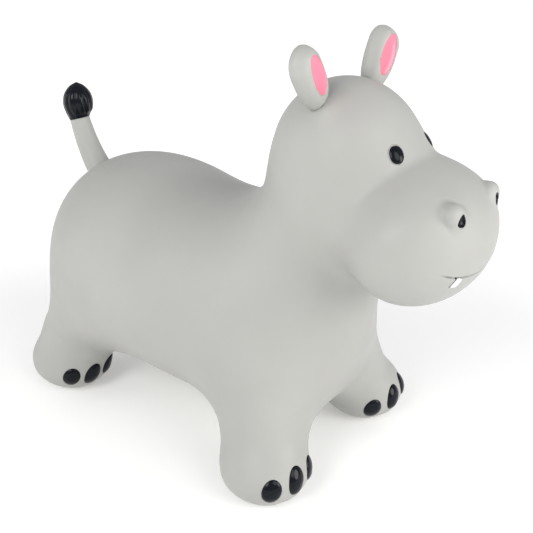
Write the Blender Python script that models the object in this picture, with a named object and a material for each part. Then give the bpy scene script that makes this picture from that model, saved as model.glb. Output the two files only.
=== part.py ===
"""Bouncy ride-on hippo: one hollow moulded skin, its air plug, ears, tail and trim.

Metres, +Z up. +X is the way the animal looks and +Y is its left side. The origin is on
the floor, under the middle of the whole toy.
"""
import bmesh
import bpy
import numpy as np
from math import cos, pi, radians, sin
from mathutils import Matrix, Vector

# Skin and clearances
SKIN = 0.0026
GAP = 0.0003
OVERRUN = 0.004

# Torso: three bulges on the centre plane, run together
RUMP_AT = (-0.140, 0.0, 0.183)
RUMP_RADII = (0.1235, 0.1185, 0.1155)
BELLY_AT = (-0.036, 0.0, 0.161)
BELLY_RADII = (0.1175, 0.1215, 0.100)
CHEST_AT = (0.0705, 0.0, 0.165)
CHEST_RADII = (0.105, 0.0995, 0.1225)
TORSO_BLEND = 0.0865
BELLY_CLEARANCE = 0.060
BELLY_ROUNDING = 0.020

# Neck and head
NECK_LOW_AT = (0.1125, 0.0, 0.2545)
NECK_LOW_RADIUS = 0.0615
NECK_TOP_AT = (0.1435, 0.0, 0.3665)
NECK_TOP_RADIUS = 0.0655
NECK_BLEND = 0.057
HEAD_AT = (0.151, 0.0, 0.339)
HEAD_RADII = (0.0785, 0.069, 0.0815)
HEAD_BLEND = 0.022

# Muzzle, tipped forward, with two nostril mounds
MUZZLE_AT = (0.2335, 0.0, 0.3005)
MUZZLE_RADII = (0.0645, 0.087, 0.0675)
MUZZLE_TILT = radians(22.6)
MUZZLE_BLEND = 0.0335
MOUND_BACK_AT = (0.2645, 0.0347, 0.3400)
MOUND_TIP_AT = (0.2762, 0.0347, 0.3395)
MOUND_RADIUS = 0.0124
MOUND_BLEND = 0.0045

# Legs: a tapered limb from hip to ankle, then a round foot cut flat on the floor
FRONT_HIP_AT = (0.0645, 0.0395, 0.175)
FRONT_HIP_RADIUS = 0.0455
FRONT_ANKLE_AT = (0.1065, 0.081, 0.073)
FRONT_ANKLE_RADIUS = 0.042
FRONT_FOOT_AT = (0.1215, 0.0975)
HIND_HIP_AT = (-0.144, 0.0495, 0.154)
HIND_HIP_RADIUS = 0.0625
HIND_ANKLE_AT = (-0.205, 0.082, 0.0735)
HIND_ANKLE_RADIUS = 0.040
HIND_FOOT_AT = (-0.212, 0.087)
FOOT_RADIUS = 0.048
FOOT_HALF_HEIGHT = 0.0315
FOOT_EDGE = 0.029
FRONT_FOOT_STRETCH_SHARE = 1.02
HIND_FOOT_STRETCH_SHARE = 1.14
FOOT_BLEND = 0.0305
LEG_BLEND = 0.0555
SOLE_TRIM = 0.0006

# Ears: a tapered pad with its front cut flat, on a round root just under the skin
EAR_BEHIND_HEAD = 0.0096
EAR_OUT = 0.042
EAR_ROOT_SINK = 0.0036
EAR_LEAN = radians(29.0)
EAR_TURN = radians(-5.8)
EAR_TILT = radians(-6.0)
EAR_ROOT_RADIUS = 0.0125
EAR_LOW_RADIUS = 0.0136
EAR_LOW_HEIGHT = 0.0015
EAR_TOP_RADIUS = 0.0182
EAR_TOP_HEIGHT = 0.0438
EAR_TOP_FORWARD = 0.0004
EAR_DEPTH_SHARE = 0.85
EAR_FACE = 0.0113
EAR_FACE_ROUNDING = 0.005
INNER_EAR_RISE = 0.0341
INNER_EAR_HALF_WIDTH = 0.0105
INNER_EAR_HALF_HEIGHT = 0.0199
INNER_EAR_SINK = 0.0030
INNER_EAR_RIM = -0.0006
INNER_EAR_DISH = -0.0012

# Tail: a curved stem on a round root just under the skin, with a grooved tuft
TAIL_BEHIND_RUMP = 0.0860
TAIL_OVER_RUMP = 0.0820
TAIL_ROOT_SINK = 0.0013
TAIL_TO_BEND = (-0.0205, 0.0, 0.0255)
TAIL_TO_COLLAR = (-0.0305, 0.0, 0.0605)
TAIL_ROOT_RADIUS = 0.0136
TAIL_RADIUS = 0.0157
TAIL_COLLAR_RADIUS = 0.0123
TUFT_HEIGHT = 0.0455
TUFT_RADIUS = 0.0187
TUFT_GROOVE = 0.0011
TUFT_LOCKS = 9
TUFT_HEIGHT_SHARES = (0.0, 0.07, 0.16, 0.28, 0.42, 0.56, 0.70, 0.82, 0.92)
TUFT_RADIUS_SHARES = (0.69, 0.74, 0.84, 0.95, 1.0, 0.965, 0.85, 0.65, 0.39)

# Free space that a flexing root needs above the skin
FLEX_ROOM = 0.0032

# Eyes
EYE_AT = (0.216, 0.0288, 0.380)
EYE_FACING = (0.64, 0.44, 0.63)
EYE_LONG_WAY = (-0.67, -0.08, 0.73)
EYE_HALF_WIDTH = 0.0064
EYE_HALF_LENGTH = 0.0087
EYE_SINK = 0.0015
EYE_RIM = -0.0004
EYE_CROWN = 0.0014

# Nostrils, set into the mounds
NOSTRIL_AT = (0.288, 0.0370, 0.3375)
NOSTRIL_FACING = (0.95, 0.22, -0.10)
NOSTRIL_UP = (0.15, -0.30, 0.95)
NOSTRIL_HALF_WIDTH = 0.0042
NOSTRIL_HALF_LENGTH = 0.0058
NOSTRIL_TAPER = 0.35
NOSTRIL_SINK = 0.0014
NOSTRIL_RIM = -0.0005
NOSTRIL_DISH = -0.0004

# Mouth line and teeth
MOUTH_LOW = 0.2771
MOUTH_SLOPE = 0.215
MOUTH_TURN = 0.004
MOUTH_HALF_WIDTH = 0.060
MOUTH_GROOVE_RADIUS = 0.0011
TOOTH_AT = (0.288, 0.0338, 0.2783)
TOOTH_FACING = (0.88, 0.31, -0.36)
TOOTH_UP = (0.42, -0.14, 0.90)
TOOTH_HALF_WIDTH = 0.0038
TOOTH_HALF_HEIGHT = 0.0048
TOOTH_SINK = 0.0012
TOOTH_RIM = 0.0006
TOOTH_CROWN = 0.0007

# Toenails: three round the front of each foot, the middle one the tallest
FRONT_NAIL_TURN = radians(-7.0)
FRONT_NAIL_SPREAD = radians(36.0)
FRONT_NAIL_HEIGHT = 0.0362
HIND_NAIL_TURN = radians(-10.0)
HIND_NAIL_SPREAD = radians(32.0)
HIND_NAIL_HEIGHT = 0.0290
SIDE_NAIL_HEIGHT = 0.0305
NAIL_HALF_WIDTH = 0.0100
NAIL_HALF_HEIGHT = 0.0155
SIDE_NAIL_HALF_HEIGHT = 0.0133
NAIL_SINK = 0.0012
NAIL_RIM = 0.0005
NAIL_CROWN = 0.0019

# Air plug and the neck that it seals, under the belly
VALVE_AT = -0.045
PLUG_HEAD_RADIUS = 0.0090
PLUG_HEAD_THICKNESS = 0.0020
PLUG_STEM_RADIUS = 0.0042
PLUG_TIP_RADIUS = 0.0034
PLUG_RIB_RADIUS = 0.0050
PLUG_RIB_HEIGHT = 0.0020
PLUG_STEM_LENGTH = 0.0180
PLUG_RIB_SHARES = (0.35, 0.65)
VALVE_NECK_WALL = 0.0030

# Mesh fineness
BODY_CELL = 0.0045
BODY_TRIANGLES = 5000
AIR_TRIANGLES = 1500
EAR_CELL = 0.0022
EAR_TRIANGLES = 520
STEM_SIDES = 20
STEM_RINGS = 7
TUFT_SIDES = 4 * TUFT_LOCKS
NAIL_SIDES = 16
TRIM_SIDES = 20
PLUG_SIDES = 32
BOSS_FINENESS = 2
SOCKET_FINENESS = 3
MOUTH_POINTS = 25
PATCH_RING_SHARES = (1.0, 0.65)

# Numeric steps of the surface search
PROBE = 0.0002
SETTLE_ROUNDS = 8
DROP_ROUNDS = 8

LEFT = 1.0
RIGHT = -1.0
SIDES = (("left", LEFT), ("right", RIGHT))


def clear_scene():
    for old in list(bpy.data.objects):
        bpy.data.objects.remove(old, do_unlink=True)


def make_material(name, colour, roughness):
    material = bpy.data.materials.new(name)
    material.use_nodes = True
    shader = material.node_tree.nodes["Principled BSDF"]
    shader.inputs["Base Color"].default_value = (*colour, 1.0)
    shader.inputs["Roughness"].default_value = roughness
    shader.inputs["Metallic"].default_value = 0.0
    material.diffuse_color = (*colour, 1.0)
    return material


def add_object(name, mesh, material=None, at=(0.0, 0.0, 0.0)):
    """Put a mesh in the scene; a mesh without a material is a cutter."""
    piece = bpy.data.objects.new(name, mesh)
    piece.location = at
    bpy.context.scene.collection.objects.link(piece)
    if material is None:
        piece.hide_render = True
        piece.display_type = "WIRE"
    else:
        mesh.materials.append(material)
    return piece


def evaluated_mesh(piece):
    bpy.context.view_layer.update()
    graph = bpy.context.evaluated_depsgraph_get()
    return bpy.data.meshes.new_from_object(piece.evaluated_get(graph))


def add_boolean(piece, other, operation="DIFFERENCE"):
    cut = piece.modifiers.new(other.name, "BOOLEAN")
    cut.operation = operation
    cut.solver = "EXACT"
    cut.object = other


def finish_mesh(build, name):
    """Turn a bmesh into a smooth-shaded mesh of triangles that face outwards."""
    bmesh.ops.triangulate(build, faces=build.faces[:])
    bmesh.ops.recalc_face_normals(build, faces=build.faces[:])
    mesh = bpy.data.meshes.new(name)
    build.to_mesh(mesh)
    build.free()
    mesh.shade_smooth()
    mesh.set_sharp_from_angle(angle=radians(40.0))
    return mesh


# Forms: each gives the signed distance of points from a surface, negative inside

def ellipsoid(points, centre, radii):
    offset = points - np.array(centre)
    radii = np.array(radii)
    reach = np.linalg.norm(offset / radii, axis=1)
    slope = np.linalg.norm(offset / radii ** 2, axis=1)
    return reach * (reach - 1.0) / np.maximum(slope, 1.0)


def limb(points, start, end, start_radius, end_radius):
    """A round limb that tapers evenly between two ball ends."""
    start = np.array(start)
    along = np.array(end) - start
    share = np.clip((points - start) @ along / (along @ along), 0.0, 1.0)
    nearest = start + share[:, None] * along
    radius = start_radius + share * (end_radius - start_radius)
    return np.linalg.norm(points - nearest, axis=1) - radius


def foot(points, at, stretch_share):
    """An upright rounded post that stands a little through the floor."""
    across = (points[:, 0] - at[0]) / stretch_share
    out = np.hypot(across, points[:, 1] - at[1]) - (FOOT_RADIUS - FOOT_EDGE)
    middle = FOOT_HALF_HEIGHT - SOLE_TRIM
    up = np.abs(points[:, 2] - middle) - (FOOT_HALF_HEIGHT - FOOT_EDGE)
    corner = np.hypot(np.maximum(out, 0.0), np.maximum(up, 0.0))
    return np.minimum(np.maximum(out, up), 0.0) + corner - FOOT_EDGE


def blend(first, second, width):
    """Join two forms with a fillet of the given width."""
    share = np.maximum(width - np.abs(first - second), 0.0) / width
    return np.minimum(first, second) - share * share * width / 4.0


def trim(form, cutter, width):
    """Keep the form where the cutter is negative, with a rounded edge."""
    return -blend(-form, -cutter, width)


def leg(points, hip, hip_radius, ankle, ankle_radius, foot_at, stretch_share):
    upper = limb(points, hip, ankle, hip_radius, ankle_radius)
    return blend(upper, foot(points, foot_at, stretch_share), FOOT_BLEND)


def muzzle(points):
    tilt = np.array(Matrix.Rotation(MUZZLE_TILT, 3, "Y"))
    own = (points - np.array(MUZZLE_AT)) @ tilt
    form = ellipsoid(own, (0.0, 0.0, 0.0), MUZZLE_RADII)
    mound = limb(points, MOUND_BACK_AT, MOUND_TIP_AT, MOUND_RADIUS, MOUND_RADIUS)
    return blend(form, mound, MOUND_BLEND)


def body(points):
    """The outside of the skin. Both sides are alike, so it is worked out on the left."""
    p = points * np.array((1.0, 0.0, 1.0)) + np.abs(points) * np.array((0.0, 1.0, 0.0))
    form = ellipsoid(p, RUMP_AT, RUMP_RADII)
    form = blend(form, ellipsoid(p, BELLY_AT, BELLY_RADII), TORSO_BLEND)
    form = blend(form, ellipsoid(p, CHEST_AT, CHEST_RADII), TORSO_BLEND)
    form = trim(form, BELLY_CLEARANCE - p[:, 2], BELLY_ROUNDING)
    neck = limb(p, NECK_LOW_AT, NECK_TOP_AT, NECK_LOW_RADIUS, NECK_TOP_RADIUS)
    form = blend(form, neck, NECK_BLEND)
    front = leg(p, FRONT_HIP_AT, FRONT_HIP_RADIUS, FRONT_ANKLE_AT, FRONT_ANKLE_RADIUS,
                FRONT_FOOT_AT, FRONT_FOOT_STRETCH_SHARE)
    form = blend(form, front, LEG_BLEND)
    hind = leg(p, HIND_HIP_AT, HIND_HIP_RADIUS, HIND_ANKLE_AT, HIND_ANKLE_RADIUS,
               HIND_FOOT_AT, HIND_FOOT_STRETCH_SHARE)
    form = blend(form, hind, LEG_BLEND)
    form = blend(form, ellipsoid(p, HEAD_AT, HEAD_RADII), HEAD_BLEND)
    return blend(form, muzzle(p), MUZZLE_BLEND)


def air(points):
    """The inside of the skin."""
    return body(points) + SKIN


def ear_axes(side):
    """Columns are the ear's own front, outward and upward directions."""
    lean = Matrix.Rotation(-EAR_LEAN, 3, "X")
    tilt = Matrix.Rotation(EAR_TILT, 3, "Y")
    turn = Matrix.Rotation(EAR_TURN, 3, "Z")
    axes = np.array(turn @ tilt @ lean)
    axes[1] *= side
    return axes


def ear_root(side):
    """Just under the skin, on top of the head."""
    start = np.array(HEAD_AT) + np.array((-EAR_BEHIND_HEAD, EAR_OUT, HEAD_RADII[2]))
    top = drop(body, start[None, :], np.array((0.0, 0.0, 1.0)))[0]
    return (top - np.array((0.0, 0.0, EAR_ROOT_SINK))) * np.array((1.0, side, 1.0))


def ear(points, side, root):
    """An ear: its root is a ball, and the rest keeps clear of the head."""
    own = (points - root) @ ear_axes(side)
    deep = own / np.array((EAR_DEPTH_SHARE, 1.0, 1.0))
    upper = limb(deep, (0.0, 0.0, EAR_LOW_HEIGHT), (EAR_TOP_FORWARD, 0.0, EAR_TOP_HEIGHT),
                 EAR_LOW_RADIUS, EAR_TOP_RADIUS)
    upper = trim(upper, own[:, 0] - EAR_FACE, EAR_FACE_ROUNDING)
    upper = trim(upper, FLEX_ROOM - body(points), GAP)
    ball = np.linalg.norm(own, axis=1) - EAR_ROOT_RADIUS
    return blend(upper, ball, GAP)


# Meshes made from the forms

def slope_of(form, points):
    steps = np.eye(3) * PROBE
    sides = [form(points + step) - form(points - step) for step in steps]
    return np.stack(sides, axis=1) / (2.0 * PROBE)


def settle(form, points):
    """Move points square to a form until they lie on it."""
    for _ in range(SETTLE_ROUNDS):
        slope = slope_of(form, points)
        steep = np.maximum((slope * slope).sum(axis=1), 0.2)
        points = points - slope * (form(points) / steep)[:, None]
    return points


def relax(mesh, points):
    """Move each point to the middle of its neighbours, which evens the faces out."""
    ends = np.empty(2 * len(mesh.edges), dtype=np.int64)
    mesh.edges.foreach_get("vertices", ends)
    first, second = ends.reshape(-1, 2).T
    total = np.zeros_like(points)
    count = np.zeros(len(points))
    for here, there in ((first, second), (second, first)):
        np.add.at(total, here, points[there])
        np.add.at(count, here, 1.0)
    return total / count[:, None]


def get_points(mesh):
    flat = np.empty(3 * len(mesh.vertices))
    mesh.vertices.foreach_get("co", flat)
    return flat.reshape(-1, 3)


def set_points(mesh, points):
    mesh.vertices.foreach_set("co", points.ravel())
    mesh.update()


def form_mesh(name, form, balls, cell, triangles, alike=True):
    """Mesh a form: join rough balls, remesh them evenly, settle them, then thin out.

    alike says that the form is the same on its left and its right.
    """
    build = bmesh.new()
    for centre, radii in balls:
        place = Matrix.Translation(centre) @ Matrix.Diagonal((*radii, 1.0))
        bmesh.ops.create_icosphere(build, subdivisions=4, radius=1.0, matrix=place)
    rough = add_object(name + "_rough", finish_mesh(build, name))
    remesh = rough.modifiers.new("even", "REMESH")
    remesh.mode = "VOXEL"
    remesh.voxel_size = cell
    even = evaluated_mesh(rough)
    points = settle(form, get_points(even))
    for _ in range(4):
        points = settle(form, relax(even, points))
    set_points(even, points)
    bpy.data.objects.remove(rough, do_unlink=True)

    guide = add_object(name + "_even", even)
    even.calc_loop_triangles()
    thin = guide.modifiers.new("thin", "DECIMATE")
    thin.ratio = min(1.0, triangles / len(even.loop_triangles))
    thin.use_collapse_triangulate = True
    mesh = evaluated_mesh(guide)
    bpy.data.objects.remove(guide, do_unlink=True)
    if alike:
        make_alike(mesh, cell)
    set_points(mesh, settle(form, get_points(mesh)))
    mesh.name = name
    mesh.shade_smooth()
    return mesh


def make_alike(mesh, cell):
    """Make the right side of a mesh a mirror image of its left side."""
    build = bmesh.new()
    build.from_mesh(mesh)
    everything = build.verts[:] + build.edges[:] + build.faces[:]
    bmesh.ops.symmetrize(build, input=everything, direction="Y", dist=cell / 10.0)
    bmesh.ops.dissolve_degenerate(build, edges=build.edges[:], dist=cell / 3.0)
    bmesh.ops.triangulate(build, faces=build.faces[:])
    flat = [face for face in build.faces
            if all(abs(vert.co.y) < PROBE for vert in face.verts)]
    bmesh.ops.delete(build, geom=flat, context="FACES")
    build.to_mesh(mesh)
    build.free()


def both_sides(at, radii):
    x, y, z = at
    return [((x, y, z), radii), ((x, -y, z), radii)]


def body_balls():
    """Rough balls that cover the body's main masses."""
    balls = [(RUMP_AT, RUMP_RADII), (BELLY_AT, BELLY_RADII), (CHEST_AT, CHEST_RADII),
             (HEAD_AT, HEAD_RADII), (MUZZLE_AT, MUZZLE_RADII)]
    balls.append((NECK_LOW_AT, (NECK_LOW_RADIUS,) * 3))
    balls.append((NECK_TOP_AT, (NECK_TOP_RADIUS,) * 3))
    balls += both_sides(MOUND_TIP_AT, (MOUND_RADIUS,) * 3)
    for hip, ankle, radius, foot_at in (
            (FRONT_HIP_AT, FRONT_ANKLE_AT, FRONT_ANKLE_RADIUS, FRONT_FOOT_AT),
            (HIND_HIP_AT, HIND_ANKLE_AT, HIND_ANKLE_RADIUS, HIND_FOOT_AT)):
        knee = tuple((np.array(hip) + np.array(ankle)) / 2.0)
        balls += both_sides(hip, (radius,) * 3)
        balls += both_sides(knee, (radius,) * 3)
        balls += both_sides(ankle, (radius,) * 3)
        balls += both_sides((*foot_at, FOOT_HALF_HEIGHT),
                            (FOOT_RADIUS, FOOT_RADIUS, FOOT_HALF_HEIGHT))
    return balls


def cut_flat_at_floor(mesh):
    build = bmesh.new()
    build.from_mesh(mesh)
    everything = build.verts[:] + build.edges[:] + build.faces[:]
    bmesh.ops.bisect_plane(build, geom=everything, dist=PROBE, plane_co=(0.0, 0.0, 0.0),
                           plane_no=(0.0, 0.0, -1.0), clear_outer=True)
    for vert in build.verts:
        if vert.co.z < PROBE:
            vert.co.z = 0.0
    rim = [edge for edge in build.edges if edge.is_boundary]
    bmesh.ops.holes_fill(build, edges=rim, sides=0)
    bmesh.ops.triangulate(build, faces=build.faces[:])
    build.to_mesh(mesh)
    build.free()


def add_turned(name, profile, sides, material=None, at=(0.0, 0.0, 0.0)):
    """Turn a profile of (radius, height) points, on the axis at both ends, about Z."""
    build = bmesh.new()
    points = [build.verts.new((radius, 0.0, height)) for radius, height in profile]
    edges = [build.edges.new(pair) for pair in zip(points, points[1:])]
    bmesh.ops.spin(build, geom=points + edges, cent=(0.0, 0.0, 0.0), axis=(0.0, 0.0, 1.0),
                   angle=2.0 * pi, steps=sides, use_merge=True)
    bmesh.ops.remove_doubles(build, verts=build.verts[:], dist=GAP / 10.0)
    return add_object(name, finish_mesh(build, name), material, at)


def add_ball(name, at, radius, fineness):
    build = bmesh.new()
    bmesh.ops.create_icosphere(build, subdivisions=fineness, radius=radius)
    return add_object(name, finish_mesh(build, name), at=at)


def drop(form, points, facing):
    """Slide points along one direction until they lie on a form."""
    for _ in range(DROP_ROUNDS):
        here = form(points)
        slope = (form(points + facing * PROBE) - here) / PROBE
        points = points - facing * (here / slope)[:, None]
    return points


def patch_mesh(name, form, at, facing, up, size, bottom, top, sides, corner=2.0, taper=0.0):
    """A closed oval piece that follows a form.

    bottom and top are heights over the form: one value each at the rim and the middle.
    corner above 2 squares the oval off, and taper narrows its upper end.
    """
    facing = np.array(Vector(facing).normalized())
    up = np.array(up) - facing * (np.array(up) @ facing)
    up /= np.linalg.norm(up)
    across = np.cross(up, facing)
    half_width, half_height = size
    build = bmesh.new()
    layers = []
    for rim, middle in (bottom, top):
        rings = []
        for share in (*PATCH_RING_SHARES, 0.0):
            turns = np.arange(sides if share else 1) * 2.0 * pi / sides
            high = np.sign(np.sin(turns)) * np.abs(np.sin(turns)) ** (2.0 / corner)
            wide = np.sign(np.cos(turns)) * np.abs(np.cos(turns)) ** (2.0 / corner)
            wide = wide * (1.0 - taper * high)
            flat = (np.outer(wide * half_width, across) + np.outer(high * half_height, up))
            points = drop(form, np.array(at) + share * flat, facing)
            height = middle + (rim - middle) * share ** 2
            rings.append([build.verts.new(point) for point in points + facing * height])
        layers.append(rings)
    for rings in layers:
        for outer, inner in zip(rings, rings[1:]):
            join_rings(build, outer, inner)
    join_rings(build, layers[0][0], layers[1][0])
    return finish_mesh(build, name)


def join_rings(build, first, second):
    """Faces between two rings of points; a ring of one point is a tip."""
    count = len(first)
    for here in range(count):
        there = (here + 1) % count
        if len(second) == 1:
            build.faces.new((first[here], first[there], second[0]))
        else:
            build.faces.new((first[here], first[there], second[there], second[here]))


def add_inlay(carrier, name, material, form, at, facing, up, size, sink, rim, crown,
              sides=TRIM_SIDES, corner=2.0, taper=0.0):
    """Set an oval piece into its carrier, in a pocket with the same outline."""
    top = (rim, rim + crown)
    mesh = patch_mesh(name, form, at, facing, up, size, (-sink, -sink), top, sides,
                      corner, taper)
    piece = add_object(name, mesh, material)
    depth = -sink - GAP
    roomy = (size[0] + GAP, size[1] + GAP)
    pocket = patch_mesh(name + "_pocket", form, at, facing, up, roomy, (depth, depth),
                        (OVERRUN, OVERRUN), sides, corner, taper)
    add_boolean(carrier, add_object(name + "_pocket", pocket))
    return piece


def mirrored(values, side):
    return tuple(np.array(values) * np.array((1.0, side, 1.0)))


# Sub-parts

def build_body(material):
    balls = body_balls()
    skin = form_mesh("body_shell", body, balls, BODY_CELL, BODY_TRIANGLES)
    cut_flat_at_floor(skin)
    shell = add_object("body_shell", skin, material)
    hollow = add_object("air_space", form_mesh("air_space", air, balls, BODY_CELL,
                                               AIR_TRIANGLES))
    for side_name, side in SIDES:
        boss = add_ball("ear_boss_" + side_name, ear_root(side),
                        EAR_ROOT_RADIUS + GAP + SKIN, BOSS_FINENESS)
        add_boolean(hollow, boss)
    add_boolean(hollow, add_ball("tail_boss", tail_root(), TAIL_ROOT_RADIUS + GAP + SKIN,
                                 BOSS_FINENESS))
    belly = belly_height()
    boss_radius = PLUG_HEAD_RADIUS + GAP + VALVE_NECK_WALL
    boss_top = PLUG_STEM_LENGTH + PLUG_HEAD_THICKNESS
    boss = add_turned("valve_boss", ((0.0, -OVERRUN), (boss_radius, -OVERRUN),
                                     (boss_radius, boss_top), (0.0, boss_top)),
                      PLUG_SIDES, at=(VALVE_AT, 0.0, belly))
    boss.rotation_euler.z = pi / PLUG_SIDES
    add_boolean(hollow, boss)
    add_boolean(shell, hollow)
    for side_name, side in SIDES:
        socket = add_ball("ear_socket_" + side_name, ear_root(side), EAR_ROOT_RADIUS + GAP,
                          SOCKET_FINENESS)
        add_boolean(shell, socket)
    add_boolean(shell, add_ball("tail_socket", tail_root(), TAIL_ROOT_RADIUS + GAP,
                                SOCKET_FINENESS))
    add_boolean(shell, build_mouth_cutter())
    return shell


def belly_height():
    """Height of the skin over the floor at the valve."""
    start = np.array(((VALVE_AT, 0.0, BELLY_AT[2] - BELLY_RADII[2]),))
    return float(drop(body, start, np.array((0.0, 0.0, -1.0)))[0, 2])


def mouth_height(across):
    """A shallow V with a rounded point."""
    return MOUTH_LOW + MOUTH_SLOPE * (np.hypot(across, MOUTH_TURN) - MOUTH_TURN)


def build_mouth_cutter():
    """A thin round bar along the mouth line, half sunk in the muzzle."""
    shares = np.linspace(-1.0, 1.0, MOUTH_POINTS)
    start = np.stack([np.full(MOUTH_POINTS, MUZZLE_AT[0] + MUZZLE_RADII[0]),
                      shares * MOUTH_HALF_WIDTH,
                      mouth_height(shares * MOUTH_HALF_WIDTH)], axis=1)
    path = drop(body, start, np.array((1.0, 0.0, 0.0)))
    curve = bpy.data.curves.new("mouth_groove", "CURVE")
    curve.dimensions = "3D"
    curve.bevel_depth = MOUTH_GROOVE_RADIUS
    curve.bevel_resolution = 1
    curve.use_fill_caps = True
    line = curve.splines.new("POLY")
    line.points.add(MOUTH_POINTS - 1)
    for spot, share, place in zip(line.points, shares, path):
        spot.co = (*place, 1.0)
        spot.radius = (1.0 - share ** 4) * 0.8 + 0.2
    bar = add_object("mouth_bar", curve)
    mesh = evaluated_mesh(bar)
    bpy.data.objects.remove(bar, do_unlink=True)
    build = bmesh.new()
    build.from_mesh(mesh)
    bmesh.ops.remove_doubles(build, verts=build.verts[:], dist=GAP / 10.0)
    return add_object("mouth_groove", finish_mesh(build, "mouth_groove"))


def left_ear_mesh():
    """The left ear, about its own root."""
    root = ear_root(LEFT)
    front, _, up = ear_axes(LEFT).T
    balls = [(root, (EAR_ROOT_RADIUS,) * 3),
             (root + up * EAR_TOP_HEIGHT / 2.0, (EAR_LOW_RADIUS,) * 3),
             (root + up * EAR_TOP_HEIGHT, (EAR_TOP_RADIUS,) * 3)]
    mesh = form_mesh("ear", lambda points: ear(points, LEFT, root), balls, EAR_CELL,
                     EAR_TRIANGLES, alike=False)
    mesh.transform(Matrix.Translation(-Vector(root)))
    return mesh


def build_ears(grey, pink):
    left = left_ear_mesh()
    right = left.copy()
    right.transform(Matrix.Scale(-1.0, 4, (0.0, 1.0, 0.0)))
    right.flip_normals()
    for (side_name, side), mesh in zip(SIDES, (left, right)):
        root = ear_root(side)

        def form(points, side=side, root=root):
            return ear(points, side, root)

        axes = ear_axes(side)
        up = axes[:, 2]
        flap = add_object("ear_" + side_name, mesh, grey, at=root)
        spot = root + up * INNER_EAR_RISE + axes[:, 0] * EAR_FACE
        add_inlay(flap, "inner_ear_" + side_name, pink, form, spot, axes[:, 0], up,
                  (INNER_EAR_HALF_WIDTH, INNER_EAR_HALF_HEIGHT), INNER_EAR_SINK,
                  INNER_EAR_RIM, INNER_EAR_DISH)


def tail_root():
    """Just under the skin, high on the back of the rump."""
    start = np.array(RUMP_AT) + np.array((-TAIL_BEHIND_RUMP, 0.0, TAIL_OVER_RUMP))
    way = np.array(Vector(TAIL_TO_BEND).normalized())
    return drop(body, start[None, :], way)[0] - TAIL_ROOT_SINK * way


def tail_point(start, share):
    """A point of the tail's centre line and the direction it runs in there."""
    bend = start + np.array(TAIL_TO_BEND)
    end = start + np.array(TAIL_TO_COLLAR)
    point = (1.0 - share) ** 2 * start + 2.0 * share * (1.0 - share) * bend + share ** 2 * end
    along = (1.0 - share) * (bend - start) + share * (end - bend)
    return point, along / np.linalg.norm(along)


def ring_at(build, centre, along, radius, sides, turn=0.0, wobble=None):
    """A ring of points square to a direction in the plane of symmetry."""
    side = np.array((0.0, 1.0, 0.0))
    back = np.cross(side, along)
    ring = []
    for step in range(sides):
        angle = 2.0 * pi * step / sides + turn
        reach = radius if wobble is None else radius - wobble(step)
        ring.append(build.verts.new(centre + reach * (cos(angle) * back + sin(angle) * side)))
    return ring


def build_tail(grey, black):
    root, start_way = tail_point(tail_root(), 0.0)
    build = bmesh.new()
    rings = [[build.verts.new(root - start_way * TAIL_ROOT_RADIUS)]]
    waist = radians(55.0)
    for step in range(1, 8):
        angle = pi - (pi - waist) * step / 7.0
        centre = root + start_way * TAIL_ROOT_RADIUS * cos(angle)
        rings.append(ring_at(build, centre, start_way, TAIL_ROOT_RADIUS * sin(angle),
                             STEM_SIDES))
    length = np.linalg.norm(TAIL_TO_COLLAR)
    first_share = (TAIL_ROOT_RADIUS * cos(waist) + FLEX_ROOM) / length
    for step in range(STEM_RINGS):
        share = first_share + (1.0 - first_share) * step / (STEM_RINGS - 1)
        centre, along = tail_point(root, share)
        radius = TAIL_RADIUS + share * (TAIL_COLLAR_RADIUS - TAIL_RADIUS)
        rings.append(ring_at(build, centre, along, radius, STEM_SIDES))
    collar, along = tail_point(root, 1.0)
    rings.append([build.verts.new(collar)])
    for outer, inner in zip(rings[1:], rings[2:]):
        join_rings(build, outer, inner)
    join_rings(build, rings[1], rings[0])
    bmesh.ops.translate(build, verts=build.verts[:], vec=-Vector(root))
    add_object("tail_stem", finish_mesh(build, "tail_stem"), grey, at=root)

    build = bmesh.new()
    base = collar + along * GAP
    rings = [[build.verts.new(base)]]
    for rise_share, radius_share in zip(TUFT_HEIGHT_SHARES, TUFT_RADIUS_SHARES):
        def groove(step, radius_share=radius_share):
            return (step % 4 == 0) * TUFT_GROOVE * radius_share

        centre = base + np.array((0.0, 0.0, 1.0)) * TUFT_HEIGHT * rise_share
        way = np.array((0.0, 0.0, 1.0)) if rise_share else along
        rings.append(ring_at(build, centre, way, TUFT_RADIUS * radius_share, TUFT_SIDES,
                             wobble=groove))
    rings.append([build.verts.new(base + np.array((0.0, 0.0, TUFT_HEIGHT)))])
    for outer, inner in zip(rings[1:], rings[2:]):
        join_rings(build, outer, inner)
    join_rings(build, rings[1], rings[0])
    bmesh.ops.translate(build, verts=build.verts[:], vec=-Vector(root))
    add_object("tail_tuft", finish_mesh(build, "tail_tuft"), black, at=root)


def build_face(shell, black, white):
    for side_name, side in SIDES:
        add_inlay(shell, "eye_" + side_name, black, body, mirrored(EYE_AT, side),
                  mirrored(EYE_FACING, side), mirrored(EYE_LONG_WAY, side),
                  (EYE_HALF_WIDTH, EYE_HALF_LENGTH), EYE_SINK, EYE_RIM, EYE_CROWN)
        add_inlay(shell, "nostril_" + side_name, black, body, mirrored(NOSTRIL_AT, side),
                  mirrored(NOSTRIL_FACING, side), mirrored(NOSTRIL_UP, side),
                  (NOSTRIL_HALF_WIDTH, NOSTRIL_HALF_LENGTH), NOSTRIL_SINK, NOSTRIL_RIM,
                  NOSTRIL_DISH, taper=NOSTRIL_TAPER)
        add_inlay(shell, "tooth_" + side_name, white, body, mirrored(TOOTH_AT, side),
                  mirrored(TOOTH_FACING, side), mirrored(TOOTH_UP, side),
                  (TOOTH_HALF_WIDTH, TOOTH_HALF_HEIGHT), TOOTH_SINK, TOOTH_RIM,
                  TOOTH_CROWN, corner=4.0)


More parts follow.
